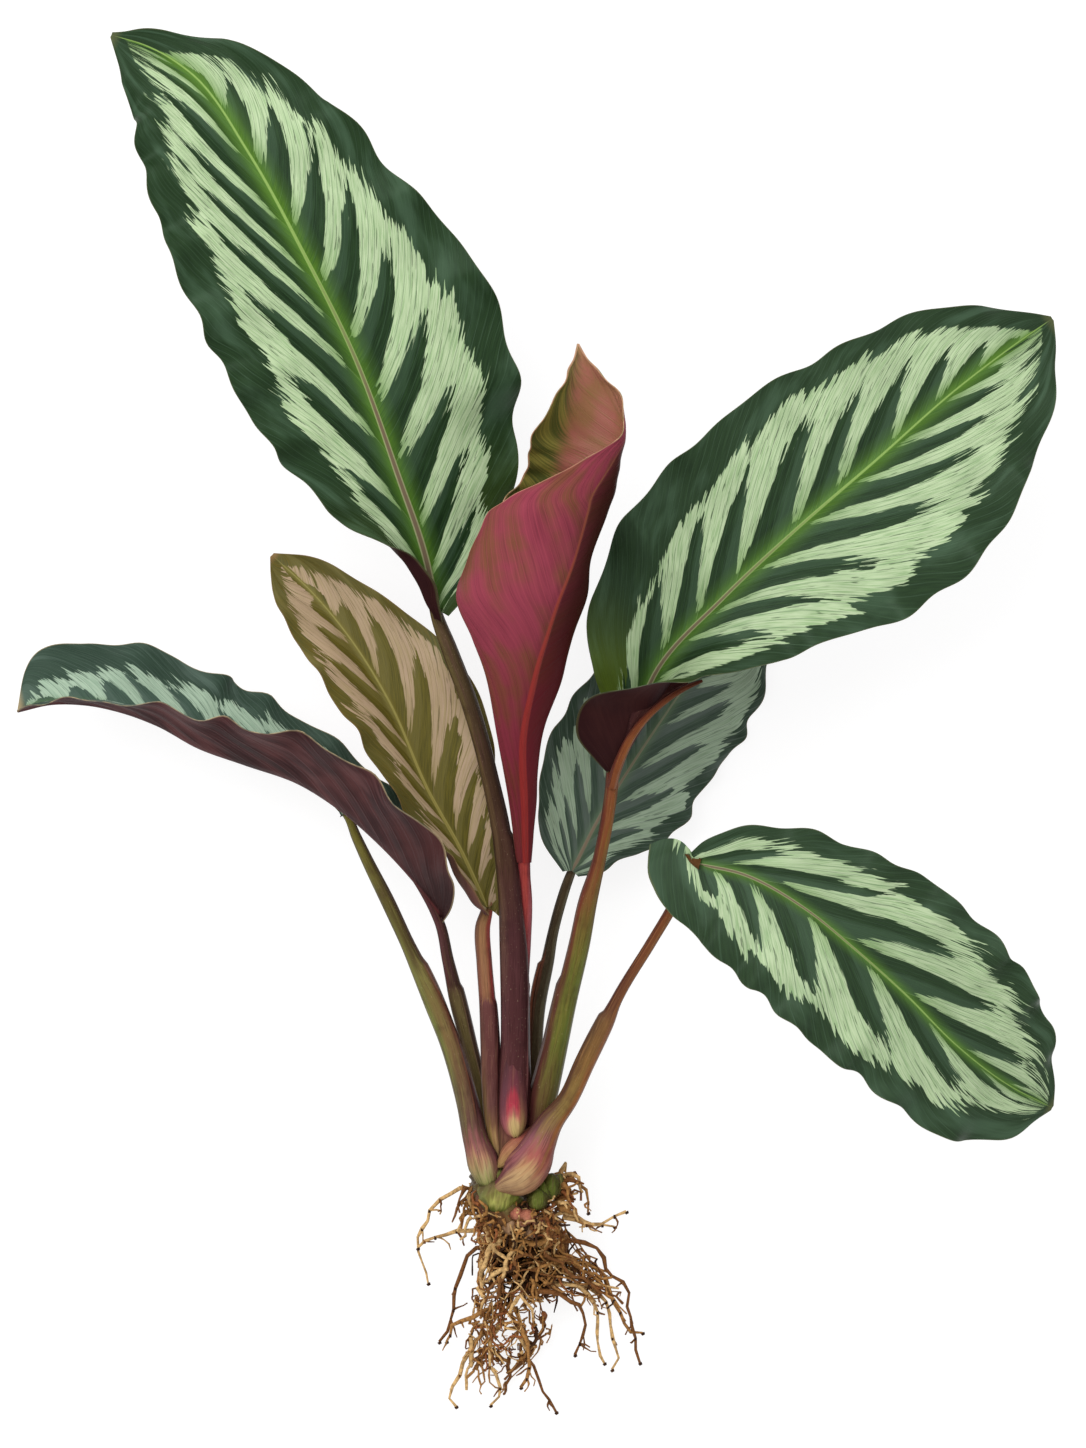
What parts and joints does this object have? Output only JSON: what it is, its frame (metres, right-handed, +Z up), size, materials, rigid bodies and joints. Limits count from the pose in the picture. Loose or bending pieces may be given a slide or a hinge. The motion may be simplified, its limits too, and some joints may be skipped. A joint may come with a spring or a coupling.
{
  "type": "bare-root prayer plant",
  "caption": "Whole foliage plant with patterned oval leaves on long sheathed stems, a short rhizome and bare roots, lying on a surface.",
  "frame": {"origin": "flat spot under the root clump that the plant rests on", "axes": "+Y from the roots up the plant, +X to its right as seen from above, +Z up from the surface it lies on"},
  "size_m": [0.3862, 0.515, 0.1145],
  "materials": {
    "blade_green": "satin",
    "blade_grey_green": "satin",
    "blade_olive": "satin",
    "blade_maroon": "satin",
    "blade_pink": "satin",
    "petiole_dark": "satin",
    "petiole_red": "satin",
    "petiole_green": "satin",
    "petiole_orange": "satin",
    "rhizome": "matte",
    "bud": "satin",
    "root": "matte"
  },
  "bodies": {
    "root": {"blade_tall_left": "blade_green", "blade_olive": "blade_olive", "blade_drooping_left": "blade_maroon", "blade_hidden_left": "blade_grey_green", "blade_back_right": "blade_grey_green", "blade_broad_right": "blade_green", "blade_low_right": "blade_green", "blade_furled": "blade_pink", "petiole_low_right": "petiole_orange", "petiole_hidden_left": "petiole_green", "petiole_tall_left": "petiole_dark", "petiole_furled": "petiole_red", "petiole_broad_right": "petiole_red", "petiole_olive": "petiole_red", "petiole_drooping_left": "petiole_dark", "petiole_back_right": "petiole_dark", "shoot_bud": "bud", "rhizome": "rhizome", "roots": "root"}
  },
  "joints": []
}
